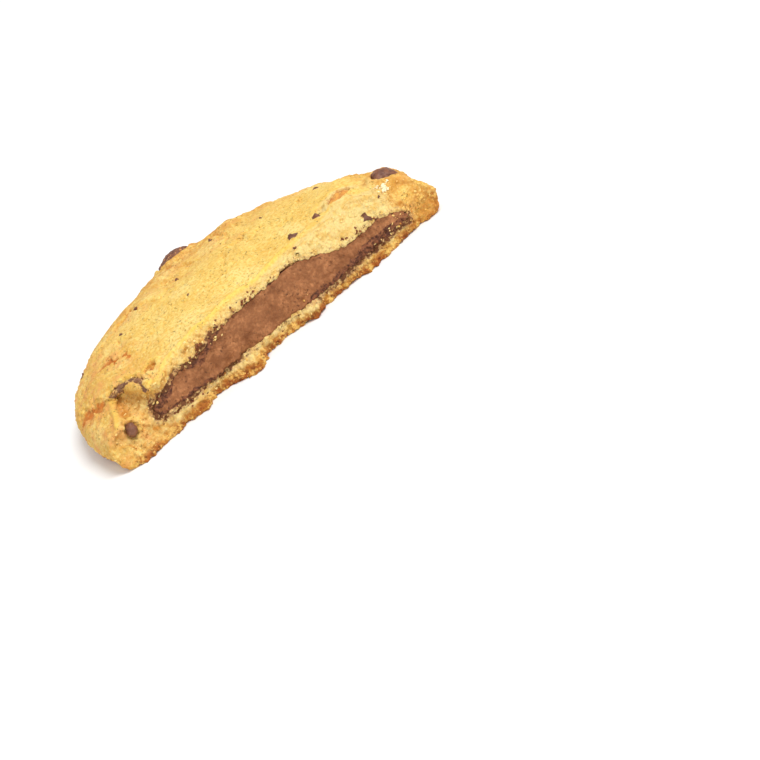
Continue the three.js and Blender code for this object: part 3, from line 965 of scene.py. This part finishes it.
finishPiece(makeSpecks(specks), "chip", chipMaterial)


# Loose crumbs that cling to the break, and dark ones in clusters along the filling; sizes in millimetres
crumbs = {"seed": 8, "count": 1500, "radius": (0.08, 0.28)}
creamCrumb = {"seed": 21, "clusters": 46, "each": (3, 16), "spread": 0.42, "radius": (0.1, 0.32)}
paleTint = -1
paleCrumb = tone(255, 244, 206)


def crumbTint(place, rng):  # 0 pale to 1 browned: more browned towards the foot and the right end
    atEnd = smoothStep(place.x - bakedRound["middle"].x, 24 * mm, 29 * mm)
    low = 1 - 0.6 * smoothStep(place.z, 2.5 * mm, 4.5 * mm)
    return 0.35 * atEnd + rng.random() * low * (1 - 0.35 * atEnd)


def makeCrumbs(name, places, seeds, rng):  # places: (place, radius, tint) of each crumb
    made = scatter(name, lumpShapes(name, seeds, subdivisions=1), places, rng)
    pointsEach = len(made.data.vertices) // len(places)
    floatLayer(made, "tint", [places[i // pointsEach][2] for i in range(len(made.data.vertices))])
    return made


heaps = [  # crumbs that lie together: place from the round's middle, spread, number, and tint if set
    {"at": (-24.6, 2.6, 9), "spread": (0.6, 0.4), "count": 12},  # over the chip's rest by the hollow
    {"at": (-23.0, -3.0, 6.5), "spread": (0.8, 0.8), "count": 44},  # at the left end of the filling
    {"at": (26.7, -0.5, 8.2), "spread": (0.9, 0.3), "count": 80, "tint": paleTint},  # by the right end's chip
    {"at": (-12.5, -3, 7.6), "spread": (2.0, 0.3), "count": 16},
    {"at": (4.8, -4.5, 1.8), "spread": (1.2, 0.8), "count": 60},
    {"at": (24, -3, 3.0), "spread": (2.5, 0.7), "count": 70},
]


def heapOfCrumbs(heap, radii, rng):
    wide, deep = heap["spread"]
    places = []
    for _ in range(heap["count"]):
        offset = (rng.gauss(0, wide), rng.gauss(0, deep), rng.gauss(0, deep))
        place, normal, _, _ = wholeTree.find_nearest(spot(*(a + b for a, b in zip(heap["at"], offset))))
        radius = rng.uniform(*radii) * mm
        tint = heap["tint"] if "tint" in heap else crumbTint(place, rng)
        places.append((place + normal * radius * rng.uniform(-0.2, 0.4), radius, tint))
    return places


def doughCrumbs(c):
    rng = random.Random(c["seed"])
    faces = doughFaces["torn"]
    places = [place for heap in heaps for place in heapOfCrumbs(heap, c["radius"], rng)]
    for face in rng.choices(faces, weights=[crumbShare(f) for f in faces], k=c["count"]):
        low, high = c["radius"]
        radius = (low + (high - low) * rng.random() ** 2) * mm
        place = randomSpot(face, rng) + face.normal * radius * rng.uniform(-0.3, 0.3)
        places.append((place, radius, crumbTint(place, rng)))
    return makeCrumbs("looseCrumbs", places, (11, 12, 13), rng)


def leftShare(face):  # the cream crumbled most in the left half of the break
    return 0.25 + smoothStep(face.center.x - bakedRound["middle"].x, -2 * mm, -12 * mm)


def creamShare(face):  # dark crumbs cling close to the cream
    return smoothStep(fillingTree.find_nearest(face.center)[3] / mm, 0.9, 0.4) * leftShare(face)


def creamCrumbs(c):
    rng = random.Random(c["seed"])
    faces = doughFaces["torn"]
    places = []
    for face in rng.choices(faces, weights=[f.area * creamShare(f) for f in faces], k=c["clusters"]):
        middle = randomSpot(face, rng)
        for _ in range(rng.randint(*c["each"])):
            offset = Vector([rng.gauss(0, c["spread"]) for _ in range(3)]) * mm
            place, normal, _, _ = wholeTree.find_nearest(middle + offset)
            radius = rng.uniform(*c["radius"]) * mm
            places.append((place + normal * radius * rng.uniform(-0.3, 0.3), radius, rng.random()))
    return makeCrumbs("creamCrumbs", places, (14, 15), rng)


def crumbMaterial(name, light, deep, brown):
    material, tree, shader = newMaterial(name, Roughness=0.85, SpecularIORLevel=0.25)
    tint = layer(tree, "tint")
    colour = blend(tree, ramp(tree, tint, 0.0, 0.7), light, deep)
    colour = blend(tree, ramp(tree, tint, 0.7, 1.0), colour, brown)
    colour = blend(tree, ramp(tree, tint, -0.1, -0.9), colour, paleCrumb)
    setSurface(tree, shader, colour, bump(tree, grain(tree, 0.2, 2), 0.03 * mm))
    return material


looseCrumbMaterial = crumbMaterial("looseCrumb", doughLook["crumb"], doughLook["golden"],
                                   doughLook["browned"])
creamCrumbMaterial = crumbMaterial("creamCrumb", fillingLook["creamDeep"], fillingLook["rough"],
                                   fillingLook["roughDeep"])
finishPiece(doughCrumbs(crumbs), "dough", looseCrumbMaterial)
finishPiece(creamCrumbs(creamCrumb), "filling", creamCrumbMaterial)
